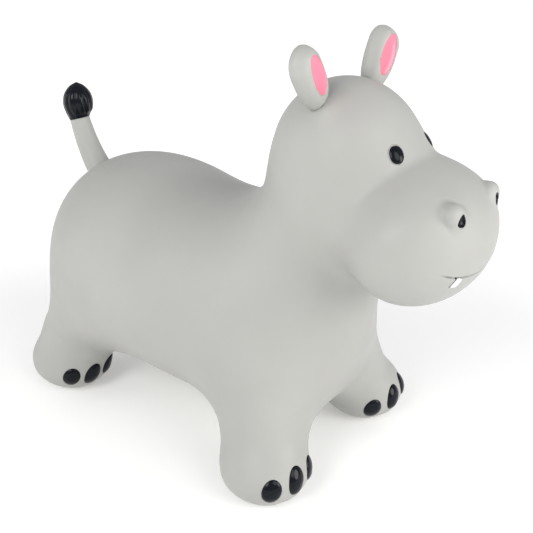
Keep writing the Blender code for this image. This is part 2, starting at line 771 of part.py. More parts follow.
def build_toenails(shell, black):
    for leg_name, foot_at, stretch_share, turn, spread, middle_height in (
            ("front", FRONT_FOOT_AT, FRONT_FOOT_STRETCH_SHARE, FRONT_NAIL_TURN,
             FRONT_NAIL_SPREAD, FRONT_NAIL_HEIGHT),
            ("hind", HIND_FOOT_AT, HIND_FOOT_STRETCH_SHARE, HIND_NAIL_TURN,
             HIND_NAIL_SPREAD, HIND_NAIL_HEIGHT)):
        for side_name, side in SIDES:
            for toe_name, way in (("outer", side), ("middle", 0.0), ("inner", -side)):
                angle = turn + way * spread
                height = SIDE_NAIL_HEIGHT if way else middle_height
                half_height = SIDE_NAIL_HALF_HEIGHT if way else NAIL_HALF_HEIGHT
                rim = np.array((cos(angle) * stretch_share, sin(angle), 0.0)) * FOOT_RADIUS
                facing = np.array((cos(angle), sin(angle) * stretch_share, 0.0))
                centre = np.array((foot_at[0], side * foot_at[1], height))
                add_inlay(shell, f"toenail_{leg_name}_{side_name}_{toe_name}", black, body,
                          centre + rim, facing, (0.0, 0.0, 1.0),
                          (NAIL_HALF_WIDTH, half_height), NAIL_SINK, NAIL_RIM,
                          NAIL_CROWN, sides=NAIL_SIDES)


def build_plug(shell, material):
    """The push-in air plug and the stepped bore that takes it, below the belly."""
    seat = (VALVE_AT, 0.0, belly_height())
    profile = [(0.0, 0.0), (PLUG_HEAD_RADIUS, 0.0), (PLUG_HEAD_RADIUS, PLUG_HEAD_THICKNESS),
               (PLUG_STEM_RADIUS, PLUG_HEAD_THICKNESS)]
    for share in PLUG_RIB_SHARES:
        low = PLUG_HEAD_THICKNESS + PLUG_STEM_LENGTH * share
        profile += [(PLUG_STEM_RADIUS, low), (PLUG_RIB_RADIUS, low),
                    (PLUG_STEM_RADIUS, low + PLUG_RIB_HEIGHT)]
    top = PLUG_HEAD_THICKNESS + PLUG_STEM_LENGTH
    profile += [(PLUG_TIP_RADIUS, top), (0.0, top)]
    add_turned("air_plug", profile, PLUG_SIDES, material, at=seat)
    recess = PLUG_HEAD_RADIUS + GAP
    bore = PLUG_RIB_RADIUS + GAP
    step = PLUG_HEAD_THICKNESS + GAP
    cutter = add_turned("valve_bore", ((0.0, -OVERRUN), (recess, -OVERRUN), (recess, step),
                                       (bore, step), (bore, top + OVERRUN),
                                       (0.0, top + OVERRUN)), PLUG_SIDES, at=seat)
    add_boolean(shell, cutter)


def stand_over_origin():
    """Carry everything on one empty, so that the origin is under the toy's middle."""
    bpy.context.view_layer.update()
    graph = bpy.context.evaluated_depsgraph_get()
    pieces = [piece for piece in bpy.data.objects if not piece.hide_render]
    corners = [piece.matrix_world @ Vector(corner) for piece in pieces
               for corner in piece.evaluated_get(graph).bound_box]
    low = min(corner.x for corner in corners)
    high = max(corner.x for corner in corners)
    stand = bpy.data.objects.new("hippo", None)
    bpy.context.scene.collection.objects.link(stand)
    for piece in list(bpy.data.objects):
        if piece is not stand:
            piece.parent = stand
    stand.location.x = -(low + high) / 2.0


def build_hippo():
    clear_scene()
    grey = make_material("soft_grey_pvc", (0.62, 0.62, 0.60), 0.5)
    black = make_material("gloss_black", (0.012, 0.013, 0.018), 0.22)
    pink = make_material("gloss_pink", (0.95, 0.27, 0.42), 0.25)
    white = make_material("tooth_white", (0.9, 0.9, 0.88), 0.35)
    shell = build_body(grey)
    build_plug(shell, white)
    build_face(shell, black, white)
    build_toenails(shell, black)
    build_ears(grey, pink)
    build_tail(grey, black)
    stand_over_origin()


build_hippo()
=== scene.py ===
"""Looks for the bouncy ride-on hippo: soft grey skin, glossy black and pink trim, studio light.

Metres, +Z up. +X is the way the animal looks and +Y is its left side.
"""

from math import cos, pi, radians, sin

import bmesh
import bpy
import numpy as np
from mathutils import Matrix, Vector


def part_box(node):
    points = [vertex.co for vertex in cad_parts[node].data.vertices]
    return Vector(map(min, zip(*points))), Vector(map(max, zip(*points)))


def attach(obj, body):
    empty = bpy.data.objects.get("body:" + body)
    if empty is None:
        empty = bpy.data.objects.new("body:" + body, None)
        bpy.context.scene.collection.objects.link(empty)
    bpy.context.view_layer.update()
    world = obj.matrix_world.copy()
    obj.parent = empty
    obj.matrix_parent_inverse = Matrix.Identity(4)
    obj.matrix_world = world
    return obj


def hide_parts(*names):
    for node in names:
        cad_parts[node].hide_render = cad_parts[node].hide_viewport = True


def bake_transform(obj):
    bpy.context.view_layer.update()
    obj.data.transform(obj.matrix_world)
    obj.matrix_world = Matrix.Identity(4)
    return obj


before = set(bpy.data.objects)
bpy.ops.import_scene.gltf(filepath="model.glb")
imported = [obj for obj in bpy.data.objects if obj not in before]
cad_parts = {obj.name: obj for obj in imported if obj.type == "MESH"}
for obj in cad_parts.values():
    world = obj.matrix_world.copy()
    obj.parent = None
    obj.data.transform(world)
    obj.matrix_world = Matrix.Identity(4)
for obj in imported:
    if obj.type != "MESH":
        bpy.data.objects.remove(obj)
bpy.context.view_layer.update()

# Torso
RUMP_AT = (-0.140, 0.0, 0.183)
RUMP_RADII = (0.1235, 0.1185, 0.1155)
BELLY_AT = (-0.036, 0.0, 0.161)
BELLY_RADII = (0.1175, 0.1215, 0.100)
CHEST_AT = (0.0705, 0.0, 0.165)
CHEST_RADII = (0.105, 0.0995, 0.1225)
TORSO_BLEND = 0.0865
BELLY_CLEARANCE = 0.060
BELLY_ROUNDING = 0.020

# Neck and head
NECK_LOW_AT = (0.1125, 0.0, 0.2545)
NECK_LOW_RADIUS = 0.0615
NECK_TOP_AT = (0.1435, 0.0, 0.3665)
NECK_TOP_RADIUS = 0.0655
NECK_BLEND = 0.057
HEAD_AT = (0.151, 0.0, 0.339)
HEAD_RADII = (0.0785, 0.069, 0.0815)
HEAD_BLEND = 0.022

# Muzzle and nostril mounds
MUZZLE_AT = (0.2335, 0.0, 0.3005)
MUZZLE_RADII = (0.0643, 0.087, 0.0675)
MUZZLE_TILT = radians(22.6)
MUZZLE_BLEND = 0.0335
BROW_BLEND = 0.0440
BROW_FOLD = 0.0060
BROW_FOLD_SHARE = 0.40
BROW_FROM_HEIGHT = 0.318
BROW_RISE = 0.045
MOUND_FACE_AT = (0.2866, 0.0365, 0.3390)
MOUND_FACING = (0.97, 0.10, 0.03)
MOUND_RADIUS = 0.0121
MOUND_LENGTH = 0.036
MOUND_EDGE = 0.0085
MOUND_BLEND = 0.0030
MOUND_FRONT_BLEND = 0.0085
MOUND_FRONT_WAY = (0.45, -0.60, -0.66)
MOUND_GROOVE_DEPTH = 0.0005
MOUND_GROOVE_WIDTH = 0.0026
MOUND_MERGE_FROM = -0.6
MOUND_MERGE_LENGTH = 1.4

# Legs and feet
FRONT_HIP_AT = (0.0645, 0.0395, 0.175)
FRONT_HIP_RADIUS = 0.0455
FRONT_ANKLE_AT = (0.1065, 0.081, 0.073)
FRONT_ANKLE_RADIUS = 0.042
FRONT_FOOT_AT = (0.1215, 0.0975)
HIND_HIP_AT = (-0.144, 0.0495, 0.154)
HIND_HIP_RADIUS = 0.0625
HIND_ANKLE_AT = (-0.205, 0.082, 0.0735)
HIND_ANKLE_RADIUS = 0.040
HIND_FOOT_AT = (-0.2135, 0.087)
FOOT_RADIUS = 0.0476
FOOT_HALF_HEIGHT = 0.0315
FOOT_EDGE = 0.029
FOOT_CORNER = 1.78
FRONT_FOOT_STRETCH_SHARE = 1.02
HIND_FOOT_STRETCH_SHARE = 1.10
FOOT_BLEND = 0.0305
LEG_BLEND = 0.0555
LEG_MEETING = 0.020
SOLE_TRIM = 0.0006
TOE_SWELL = 0.0011
TOE_SPREAD = radians(13.0)
TOE_HEIGHT = 0.018
TOE_REACH = 0.018
TOE_FROM_SHARE = 0.5
TOE_TO_SHARE = 1.4
TOE_EDGE = 0.012

# Ears
EAR_ROOT_AT = (0.1414, 0.042, 0.41499)
EAR_LEAN = radians(29.0)
EAR_TURN = radians(-5.8)
EAR_TILT = radians(-6.0)
EAR_LOW_AT = (-0.0008, 0.0, 0.0030)
EAR_LOW_RADIUS = 0.0088
EAR_TOP_AT = (0.0024, 0.0016, 0.0437)
EAR_TOP_RADIUS = 0.0191
EAR_STEPS = 17
EAR_SEAT_AT = (0.1495, 0.0440, 0.4120)
EAR_SEAT_RISE = 0.0048
EAR_SEAT_REACH = 0.0120
EAR_TAPER_POWER = 3.0
EAR_WALL = 0.0030
EAR_BACK_SHARE = 0.43
EAR_FRONT_SLOPE = 0.30
EAR_FRONT_CURVE = 26.0
EAR_BALL_SHARE = 0.8
EAR_FACE = 0.0113
EAR_FACE_ROUNDING = 0.0036
EAR_CHIN_RISE = 0.011
EAR_CHIN_TURN = radians(22.0)
EAR_CHIN_ROUNDING = 0.006
INNER_EAR_RISE = 0.0341
INNER_EAR_OUT = 0.0006
INNER_EAR_HALF_WIDTH = 0.0102
INNER_EAR_HALF_HEIGHT = 0.0201
INNER_EAR_POCKET = 0.0032
INNER_EAR_EDGE_FROM = 0.93
INNER_EAR_EDGE_SHARE = 0.12
INNER_EAR_EDGE_MIDDLE = 0.99
INNER_EAR_FINE_SHARE = 0.16
INNER_EAR_FRONT_REACH = 0.004
INNER_EAR_RIM_DROP = 0.0008
INNER_EAR_HOLLOW = 0.0016
INNER_EAR_HOLLOW_POWER = 3.0
INNER_EAR_HOLLOW_ROOT = 0.7
INNER_EAR_SHARES = (1.0, 0.985, 0.96, 0.92, 0.85, 0.74, 0.6, 0.42, 0.22, 0.0)
INNER_EAR_SIDES = 64

# Tail
TAIL_ROOT_AT = (-0.2256, 0.0, 0.2645)
TAIL_BEND_AT = (-0.2461, 0.0, 0.2900)
TAIL_COLLAR_AT = (-0.2561, 0.0, 0.3250)
TAIL_RADIUS = 0.0158
TAIL_COLLAR_RADIUS = 0.0122
TAIL_INSIDE = 0.014
TAIL_RINGS = 28
TAIL_END_RISE = 0.0004
TAIL_END_SHARE = 0.96
TUFT_HEIGHT = 0.0455
TUFT_RADIUS = 0.0187
TUFT_RAISE = 0.0003
TUFT_BASE_SHARE = 0.97
TUFT_TIP_SHARE = 0.993
TUFT_UPRIGHT_SHARE = 0.3
TUFT_TWIST = 0.35
TUFT_TWIST_TURN = 2.2
TUFT_LOCKS = 11
TUFT_LOCK_SIDES = 10
TUFT_LOCK_WAVER = 0.35
TUFT_LOCK_ROOT = 0.55
TUFT_GROOVE = 0.0015
TUFT_GROOVE_GROWTH = 0.25
TUFT_GROOVE_END = 1.02
TUFT_GROOVE_FADE = 0.35
TUFT_RISE_SHARES = (0.0, 0.006, *np.linspace(0.02, 0.97, 38), 0.99)
TUFT_HEIGHT_SHARES = (0.0, 0.05, 0.16, 0.28, 0.42, 0.56, 0.70, 0.82, 0.92, 1.0)
TUFT_RADIUS_SHARES = (0.685, 0.72, 0.84, 0.95, 1.0, 0.965, 0.85, 0.65, 0.39, 0.0)

# Eyes
EYE_AT = (0.216, 0.0288, 0.380)
EYE_FACING = (0.64, 0.44, 0.63)
EYE_LONG_WAY = (-0.526, -0.330, 0.765)
EYE_SIZE = (0.0067, 0.0083)
EYE_CORNER = 2.3
EYE_DEPTH = 0.0018
EYE_RIM_DROP = 0.0006
EYE_CROWN = 0.0021
EYE_DOME_POWER = 2.2
EYE_SOCKET_AT = (0.2153, 0.0296, 0.3801)
EYE_SOCKET_DEPTH = 0.0010
EYE_SOCKET_SHARE = 1.04
EYE_SOCKET_EDGE_SHARE = 0.16

# Nostrils
NOSTRIL_AT = (0.287, 0.0350, 0.3370)
NOSTRIL_FACING = (0.97, 0.16, -0.06)
NOSTRIL_UP = (0.12, -0.30, 0.95)
NOSTRIL_SIZE = (0.0050, 0.0056)
NOSTRIL_TAPER = 0.30
NOSTRIL_POCKET = 0.0028
NOSTRIL_EDGE_FROM = 0.85
NOSTRIL_EDGE_SHARE = 0.28
NOSTRIL_DISH = ((1.0, -0.0004), (0.96, -0.0006), (0.86, -0.0015), (0.74, -0.0023), (0.55, -0.0027),
                (0.3, -0.0028), (0.0, -0.0028))

# Mouth and teeth
MOUTH_LOW = 0.2797
MOUTH_CURVE = 3.75
MOUTH_HALF_WIDTH = 0.060
MOUTH_DEPTH = 0.0027
MOUTH_UPPER_WIDTH = 0.0006
MOUTH_LOWER_WIDTH = 0.0012
MOUTH_END_FROM = 0.72
MOUTH_END_SHARE = 0.28
MOUTH_FRONT_REACH = 0.02
LIP_RISE = 0.0004
LIP_WIDTH = 0.0022
TOOTH_AT = (0.2875, 0.0352, 0.2785)
TOOTH_FACING = (0.88, 0.31, -0.36)
TOOTH_UP = (0.42, -0.14, 0.90)
TOOTH_SIZE = (0.0037, 0.0050)
TOOTH_SKEW = -0.30
TOOTH_DEPTH = 0.0020
TOOTH_CROWN = 0.0010
TOOTH_DOME_POWER = 5.0
TOOTH_CORNER = 4.5
# The slot beside each tooth, and how far under the skin its black lining sits; the lining is
# painted shade
TOOTH_SLIT_GAP = 0.0001
TOOTH_SLIT_WIDTH = 0.0014
TOOTH_SLIT_SHADE_HEIGHT = -0.0004
TOOTH_SLIT_REACH = (-1.10, 1.12)
TOOTH_SLIT_DEPTH = 0.0030
TOOTH_SLIT_CORNER = 6.0

# Toenails
FRONT_NAILS = (radians(-7.0), radians(36.0), radians(14.0))
HIND_NAILS = (radians(-10.0), radians(32.0), radians(27.0))
NAIL_HEIGHTS = {
    "front_right": (0.0332, 0.0364, 0.0335),
    "front_left": (0.0375, 0.0345, 0.0272),
    "hind_right": (0.0297, 0.0277, 0.0300),
    "hind_left": (0.0297, 0.0277, 0.0300),
}
NAIL_SIZE = (0.0106, 0.0155)
SIDE_NAIL_SIZE = (0.0106, 0.0136)
NAIL_CROWN = 0.0028
NAIL_DEPTH = 0.0015

# Air plug
VALVE_AT = -0.045
VALVE_RADIUS = 0.0093
VALVE_BORE = 0.0053
VALVE_STEP = 0.0023
VALVE_DEPTH = 0.0245

# Shared by the pieces of the trim
RIM_RISE = 0.0001
BELOW_POCKET = 0.0008
DOME_POWER = 2.4
DOME_ROOT = 0.62
DOME_SHARES = (1.0, 0.985, 0.95, 0.88, 0.78, 0.62, 0.42, 0.2, 0.0)

# How far in front of and behind its plane an oval reaches, and its least share of width
OVAL_REACH = 0.012
OVAL_REACH_EDGE = 0.006
OVAL_FAR = 9.0
OVAL_LEAST_WIDTH = 0.1

# Mesh fineness and the steps of the surface search
SKIN_CELL = 0.0055
EAR_CELL = 0.0010
BALL_SUBDIVISIONS = 4
ROUND_SIDES = 48
SHARP_ANGLE = radians(50.0)
PROBE = 0.0002
LEAST_STEEPNESS = 0.2
SETTLE_ROUNDS = 5
SETTLE_AGAIN_ROUNDS = 3
RELAX_ROUNDS = 5
DROP_ROUNDS = 8

# Each finer step of the face: reach from the mouth line and from the mounds, and the share
# of an eye and of a nostril
FACE_DETAIL_STEPS = ((0.010, 0.008, 2.4, 2.2), (0.006, 0.005, 1.8, 1.8),
                     (0.0035, -0.02, 1.5, 1.5))

# Plastics: noise as scale and detail
NOISE_RANGE = (0.3, 0.7)
COLOUR_NOISE = (14.0, 4.0)
GLOSS_NOISE = (60.0, 5.0)
GRAIN_DETAIL = 3.0
GRAIN_HEIGHT = 0.0002
PLASTIC_IOR = 1.47

# Floor and light: a lamp has an azimuth and an elevation in degrees and a power in watts
FLOOR_HALF_SIZE = 30.0
FLOOR_COLOUR = (0.85, 0.85, 0.85, 1.0)
FLOOR_ROUGHNESS = 0.9
FLOOR_GLOW_PLACES = (0.45, 1.4)
FLOOR_GLOW_STRENGTHS = (0.23, 0.50)
LAMP_COLOUR = (1.0, 0.99, 0.96)
LAMP_SIZE = 1.4
LAMP_DISTANCE = 2.6
LAMP_TARGET = (0.0, 0.0, 0.2)
LAMPS = (
    ("front_low", 18.0, 15.0, 29.0),
    ("front_high", -10.0, 35.0, 14.0),
    ("side_high", -88.0, 35.0, 29.0),
    ("back_low", -140.0, 12.0, 9.0),
)
WORLD_COLOUR = (0.972, 0.985, 1.02, 1.0)
WORLD_STRENGTH = 0.56

SIDES = (("left", 1.0), ("right", -1.0))

# From the origin of these constants to the frame's, read from where the plug stands
low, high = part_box("air_plug")
TO_ROW = Vector(((low.x + high.x) / 2.0 - VALVE_AT, 0.0, 0.0))


# Forms: each gives the signed distance of points from a surface, negative inside

def ellipsoid(points, centre, radii):
    """Nearly the distance from an ellipsoid."""
    offset = points - np.array(centre)
    radii = np.array(radii)
    reach = np.linalg.norm(offset / radii, axis=1)
    slope = np.linalg.norm(offset / radii ** 2, axis=1)
    return reach * (reach - 1.0) / np.maximum(slope, 1.0)


def limb(points, start, end, start_radius, end_radius):
    """A rod with round ends that tapers evenly."""
    start = np.array(start)
    along = np.array(end) - start
    share = np.clip((points - start) @ along / (along @ along), 0.0, 1.0)
    nearest = start + share[:, None] * along
    radius = start_radius + share * (end_radius - start_radius)
    return np.linalg.norm(points - nearest, axis=1) - radius


def foot(points, at, stretch_share):
    """A low round block with very soft edges."""
    across = (points[:, 0] - at[0]) / stretch_share
    out = np.hypot(across, points[:, 1] - at[1]) - (FOOT_RADIUS - FOOT_EDGE)
    middle = FOOT_HALF_HEIGHT - SOLE_TRIM
    up = np.abs(points[:, 2] - middle) - (FOOT_HALF_HEIGHT - FOOT_EDGE)
    corner = (np.maximum(out, 0.0) ** FOOT_CORNER + np.maximum(up, 0.0) ** FOOT_CORNER)
    return np.minimum(np.maximum(out, up), 0.0) + corner ** (1.0 / FOOT_CORNER) - FOOT_EDGE


def blend(first, second, width):
    """Two forms joined, with a smooth fillet."""
    share = np.maximum(width - np.abs(first - second), 0.0) / width
    return np.minimum(first, second) - share * share * width / 4.0


def trim(form, cutter, width):
    """The part of a form inside a cutter, with a rounded edge."""
    return -blend(-form, -cutter, width)


def leg(points, hip, hip_radius, ankle, ankle_radius, foot_at, stretch_share):
    upper = limb(points, hip, ankle, hip_radius, ankle_radius)
    return blend(upper, foot(points, foot_at, stretch_share), FOOT_BLEND)


def muzzle(points):
    """The snout and the mounds, which melt into its front."""
    tilt = np.array(Matrix.Rotation(MUZZLE_TILT, 3, "Y"))
    own = (points - np.array(MUZZLE_AT)) @ tilt
    form = ellipsoid(own, (0.0, 0.0, 0.0), MUZZLE_RADII)
    mound = nostril_mound(points)
    ahead = (points - np.array(MOUND_FACE_AT)) @ np.array(MOUND_FRONT_WAY) / MOUND_RADIUS
    merged = step_up((ahead - MOUND_MERGE_FROM) / MOUND_MERGE_LENGTH)
    width = MOUND_BLEND + (MOUND_FRONT_BLEND - MOUND_BLEND) * merged
    groove = MOUND_GROOVE_DEPTH * bell(np.hypot(form, mound) / MOUND_GROOVE_WIDTH)
    return blend(form, mound, width) + groove * (1.0 - merged)


def nostril_mound(points):
    """A short cylinder with well rounded edges."""
    own = (points - np.array(MOUND_FACE_AT)) @ own_axes(MOUND_FACING, (0.0, 0.0, 1.0))
    out = np.hypot(own[:, 0], own[:, 1]) - (MOUND_RADIUS - MOUND_EDGE)
    ahead = np.abs(own[:, 2] + MOUND_LENGTH / 2.0) - (MOUND_LENGTH / 2.0 - MOUND_EDGE)
    corner = np.hypot(np.maximum(out, 0.0), np.maximum(ahead, 0.0))
    return np.minimum(np.maximum(out, ahead), 0.0) + corner - MOUND_EDGE


def on_left(points):
    """Points mirrored to the left side."""
    return points * np.array((1.0, 0.0, 1.0)) + np.abs(points) * np.array((0.0, 1.0, 0.0))


def off_middle(p):
    """Points moved out near the middle plane, so that the two legs of a pair meet smoothly."""
    moved = p.copy()
    across = np.minimum(p[:, 1], LEG_MEETING)
    moved[:, 1] += (across - LEG_MEETING) ** 2 / (2.0 * LEG_MEETING)
    return moved


def plain_body(points):
    """The whole skin without its fine carving."""
    p = on_left(points)
    apart = off_middle(p)
    form = ellipsoid(p, RUMP_AT, RUMP_RADII)
    form = blend(form, ellipsoid(p, BELLY_AT, BELLY_RADII), TORSO_BLEND)
    form = blend(form, ellipsoid(p, CHEST_AT, CHEST_RADII), TORSO_BLEND)
    form = trim(form, BELLY_CLEARANCE - p[:, 2], BELLY_ROUNDING)
    neck = limb(p, NECK_LOW_AT, NECK_TOP_AT, NECK_LOW_RADIUS, NECK_TOP_RADIUS)
    form = blend(form, neck, NECK_BLEND)
    front = leg(apart, FRONT_HIP_AT, FRONT_HIP_RADIUS, FRONT_ANKLE_AT, FRONT_ANKLE_RADIUS,
                FRONT_FOOT_AT, FRONT_FOOT_STRETCH_SHARE)
    form = blend(form, front, LEG_BLEND)
    hind = leg(apart, HIND_HIP_AT, HIND_HIP_RADIUS, HIND_ANKLE_AT, HIND_ANKLE_RADIUS,
               HIND_FOOT_AT, HIND_FOOT_STRETCH_SHARE)
    form = blend(form, hind, LEG_BLEND)
    form = blend(form, ellipsoid(p, HEAD_AT, HEAD_RADII), HEAD_BLEND)
    snout = muzzle(p)
    brow = step_up((p[:, 2] - BROW_FROM_HEIGHT) / BROW_RISE) * BROW_FOLD_SHARE
    width = MUZZLE_BLEND + (BROW_BLEND - MUZZLE_BLEND) * brow / BROW_FOLD_SHARE
    return blend(form, snout, width) * (1.0 - brow) + blend(form, snout, BROW_FOLD) * brow


def step_up(share):
    """0 up to a share of 0, 1 from a share of 1, smooth between."""
    share = np.clip(share, 0.0, 1.0)
    return share * share * (3.0 - 2.0 * share)


def bell(share):
    return np.exp(-share * share)


def own_axes(facing, up):
    """Columns: across, up and facing, square to each other."""
    facing = np.array(Vector(facing).normalized())
    up = np.array(up) - facing * (np.array(up) @ facing)
    up /= np.linalg.norm(up)
    return np.stack([np.cross(up, facing), up, facing], axis=1)


def oval_reach(points, at, facing, up, size, taper=0.0):
    """1 on the outline of an oval, 0 at its middle; large away from its plane."""
    own = (points - np.array(at)) @ own_axes(facing, up)
    high = own[:, 1] / size[1]
    narrowed = np.maximum(1.0 - taper * np.clip(high, -1.0, 1.0), OVAL_LEAST_WIDTH)
    wide = own[:, 0] / (size[0] * narrowed)
    far = step_up((np.abs(own[:, 2]) - OVAL_REACH) / OVAL_REACH_EDGE) * OVAL_FAR
    return np.hypot(wide, high) + far


def mouth_height(across):
    return MOUTH_LOW + MOUTH_CURVE * across * across


def mouth_relief(p):
    """How far the mouth line sinks into the skin, and its upper lip stands out."""
    above = p[:, 2] - mouth_height(p[:, 1])
    width = np.where(above > 0.0, MOUTH_UPPER_WIDTH, MOUTH_LOWER_WIDTH)
    groove = MOUTH_DEPTH * bell(above / width)
    lip = LIP_RISE * bell((above - LIP_WIDTH) / LIP_WIDTH)
    ends = 1.0 - step_up((p[:, 1] / MOUTH_HALF_WIDTH - MOUTH_END_FROM) / MOUTH_END_SHARE)
    front = step_up((p[:, 0] - MUZZLE_AT[0]) / MOUTH_FRONT_REACH)
    return (groove - lip) * ends * front


def nail_places(side):
    """Name, foot, turn, stretch, rim point, facing, up and size of a side's six toenails."""
    places = []
    side_name = "left" if side > 0.0 else "right"
    for leg_name, foot_at, stretch_share, (turn, spread, lean) in (
            ("front", FRONT_FOOT_AT, FRONT_FOOT_STRETCH_SHARE, FRONT_NAILS),
            ("hind", HIND_FOOT_AT, HIND_FOOT_STRETCH_SHARE, HIND_NAILS)):
        toes = zip(("outer", "middle", "inner"), (side, 0.0, -side),
                   NAIL_HEIGHTS[leg_name + "_" + side_name])
        for toe_name, way, height in toes:
            angle = turn + way * spread
            size = SIDE_NAIL_SIZE if way else NAIL_SIZE
            rim = np.array((cos(angle) * stretch_share, sin(angle), 0.0)) * FOOT_RADIUS
            facing = (cos(angle), sin(angle) * stretch_share, 0.0)
            at = np.array((foot_at[0], side * foot_at[1], height)) + rim
            up = (-sin(angle) * sin(lean), cos(angle) * sin(lean), cos(lean))
            places.append((leg_name + "_" + side_name + "_" + toe_name, foot_at, angle,
                           stretch_share, at, facing, up, size))
    return places


def toe_swell(points):
    """The toes stand out a little under each nail."""
    swell = np.zeros(len(points))
    for _, side in SIDES:
        near = points[:, 1] * side > 0.0
        for _, foot_at, angle, stretch_share, _, _, _, _ in nail_places(side):
            along = (points[:, 0] - foot_at[0]) / stretch_share
            across = points[:, 1] - side * foot_at[1]
            out = np.hypot(along, across)
            off = np.arctan2(across, along) - angle
            off = (off + pi) % (2.0 * pi) - pi
            here = bell(off / TOE_SPREAD) * bell((points[:, 2] - TOE_HEIGHT) / TOE_REACH)
            here *= step_up((out - FOOT_RADIUS * TOE_FROM_SHARE) / TOE_EDGE) * near
            here *= step_up((FOOT_RADIUS * TOE_TO_SHARE - out) / TOE_EDGE)
            swell += here * TOE_SWELL
    return swell


def carved_body(points):
    """The body with its mouth line, lip, toes, eye sockets, ear seats and nostril pockets."""
    p = on_left(points)
    form = plain_body(points) - toe_swell(points) + mouth_relief(p)
    socket = oval_reach(p, EYE_SOCKET_AT, EYE_FACING, EYE_LONG_WAY, EYE_SIZE)
    edge = (socket - EYE_SOCKET_SHARE) / EYE_SOCKET_EDGE_SHARE
    form += EYE_SOCKET_DEPTH * (1.0 - step_up(edge))
    seat = np.linalg.norm(p - np.array(EAR_SEAT_AT), axis=1)
    form -= EAR_SEAT_RISE * bell(seat / EAR_SEAT_REACH)
    hole = oval_reach(p, NOSTRIL_AT, NOSTRIL_FACING, NOSTRIL_UP, NOSTRIL_SIZE, NOSTRIL_TAPER)
    return form + NOSTRIL_POCKET * (
        1.0 - step_up((hole - NOSTRIL_EDGE_FROM) / NOSTRIL_EDGE_SHARE))


def ear_axes(side):
    """Columns are the ear's own front, outward and upward directions."""
    lean = Matrix.Rotation(-EAR_LEAN, 3, "X")
    tilt = Matrix.Rotation(EAR_TILT, 3, "Y")
    turn = Matrix.Rotation(EAR_TURN, 3, "Z")
    axes = np.array(turn @ tilt @ lean)
    axes[1] *= side
    return axes


def ear_root(side):
    return np.array(EAR_ROOT_AT) * np.array((1.0, side, 1.0))


def plain_ear(points, side):
    """A flap that widens upward, with a flattened face and a chin under it."""
    own = (points - ear_root(side)) @ ear_axes(side)
    deep = own.copy()
    deep[:, 0] = np.minimum(own[:, 0] + EAR_WALL, 0.0) / EAR_BACK_SHARE
    shares = np.linspace(0.0, 1.0, EAR_STEPS)
    spots = np.array(EAR_LOW_AT) + np.outer(shares, np.subtract(EAR_TOP_AT, EAR_LOW_AT))
    radii = EAR_TOP_RADIUS + (EAR_LOW_RADIUS - EAR_TOP_RADIUS) * (
        (1.0 - shares) ** EAR_TAPER_POWER)
    form = np.full(len(points), 1.0)
    for here in range(EAR_STEPS - 1):
        form = np.minimum(form, limb(deep, spots[here], spots[here + 1], radii[here],
                                     radii[here + 1]))
    ahead = np.maximum(own[:, 0], 0.0)
    form += EAR_FRONT_SLOPE * ahead + EAR_FRONT_CURVE * ahead * ahead
    form = trim(form, own[:, 0] - EAR_FACE, EAR_FACE_ROUNDING)
    chin = ((own[:, 0] - EAR_FACE) * cos(EAR_CHIN_TURN)
            - (own[:, 2] - EAR_CHIN_RISE) * sin(EAR_CHIN_TURN))
    return trim(form, chin, EAR_CHIN_ROUNDING)


def inner_ear_reach(own):
    """1 on the rim of the pink dish, 0 along its middle."""
    return np.hypot((own[:, 1] - INNER_EAR_OUT) / INNER_EAR_HALF_WIDTH,
                    (own[:, 2] - INNER_EAR_RISE) / INNER_EAR_HALF_HEIGHT)


def near_inner_ear_rim(points, side):
    own = (points - ear_root(side)) @ ear_axes(side)
    off = np.abs(inner_ear_reach(own) - INNER_EAR_EDGE_MIDDLE)
    return (off < INNER_EAR_FINE_SHARE) & (own[:, 0] > 0.0)


def carved_ear(points, side):
    """The ear with the pocket for its pink dish."""
    own = (points - ear_root(side)) @ ear_axes(side)
    pocket = 1.0 - step_up((inner_ear_reach(own) - INNER_EAR_EDGE_FROM) / INNER_EAR_EDGE_SHARE)
    pocket = pocket * step_up(own[:, 0] / INNER_EAR_FRONT_REACH)
    return plain_ear(points, side) + INNER_EAR_POCKET * pocket


# Meshes made from the forms

def new_piece(name, mesh, material=None):
    """A new object; one with a material stays in the scene and is moved into the frame."""
    piece = bpy.data.objects.new(name, mesh)
    bpy.context.scene.collection.objects.link(piece)
    if material is not None:
        mesh.materials.append(material)
        mesh.transform(Matrix.Translation(TO_ROW))
    return piece


def to_mesh(build, name):
    bmesh.ops.recalc_face_normals(build, faces=build.faces[:])
    mesh = bpy.data.meshes.new(name)
    build.to_mesh(mesh)
    build.free()
    mesh.shade_smooth()
    return mesh


def evaluated_mesh(piece):
    bpy.context.view_layer.update()
    graph = bpy.context.evaluated_depsgraph_get()
    return bpy.data.meshes.new_from_object(piece.evaluated_get(graph))


def slope_of(form, points):
    """How a form's distance grows along each axis."""
    steps = np.eye(3) * PROBE
    sides = [form(points + step) - form(points - step) for step in steps]
    return np.stack(sides, axis=1) / (2.0 * PROBE)


def settle(form, points, rounds=SETTLE_ROUNDS):
    """Move points along the slope until they lie on a form."""
    for _ in range(rounds):
        slope = slope_of(form, points)
        steep = np.maximum((slope * slope).sum(axis=1), LEAST_STEEPNESS)
        points = points - slope * (form(points) / steep)[:, None]
    return points


def relax(mesh, points):
    """Each point moved to the middle of its neighbours."""
    ends = np.empty(2 * len(mesh.edges), dtype=np.int64)
    mesh.edges.foreach_get("vertices", ends)
    first, second = ends.reshape(-1, 2).T
    total = np.zeros_like(points)
    count = np.zeros(len(points))
    for here, there in ((first, second), (second, first)):
        np.add.at(total, here, points[there])
        np.add.at(count, here, 1.0)
    return total / count[:, None]


def get_points(mesh):
    flat = np.empty(3 * len(mesh.vertices))
    mesh.vertices.foreach_get("co", flat)
    return flat.reshape(-1, 3)


def set_points(mesh, points):
    mesh.vertices.foreach_set("co", points.ravel())
    mesh.update()


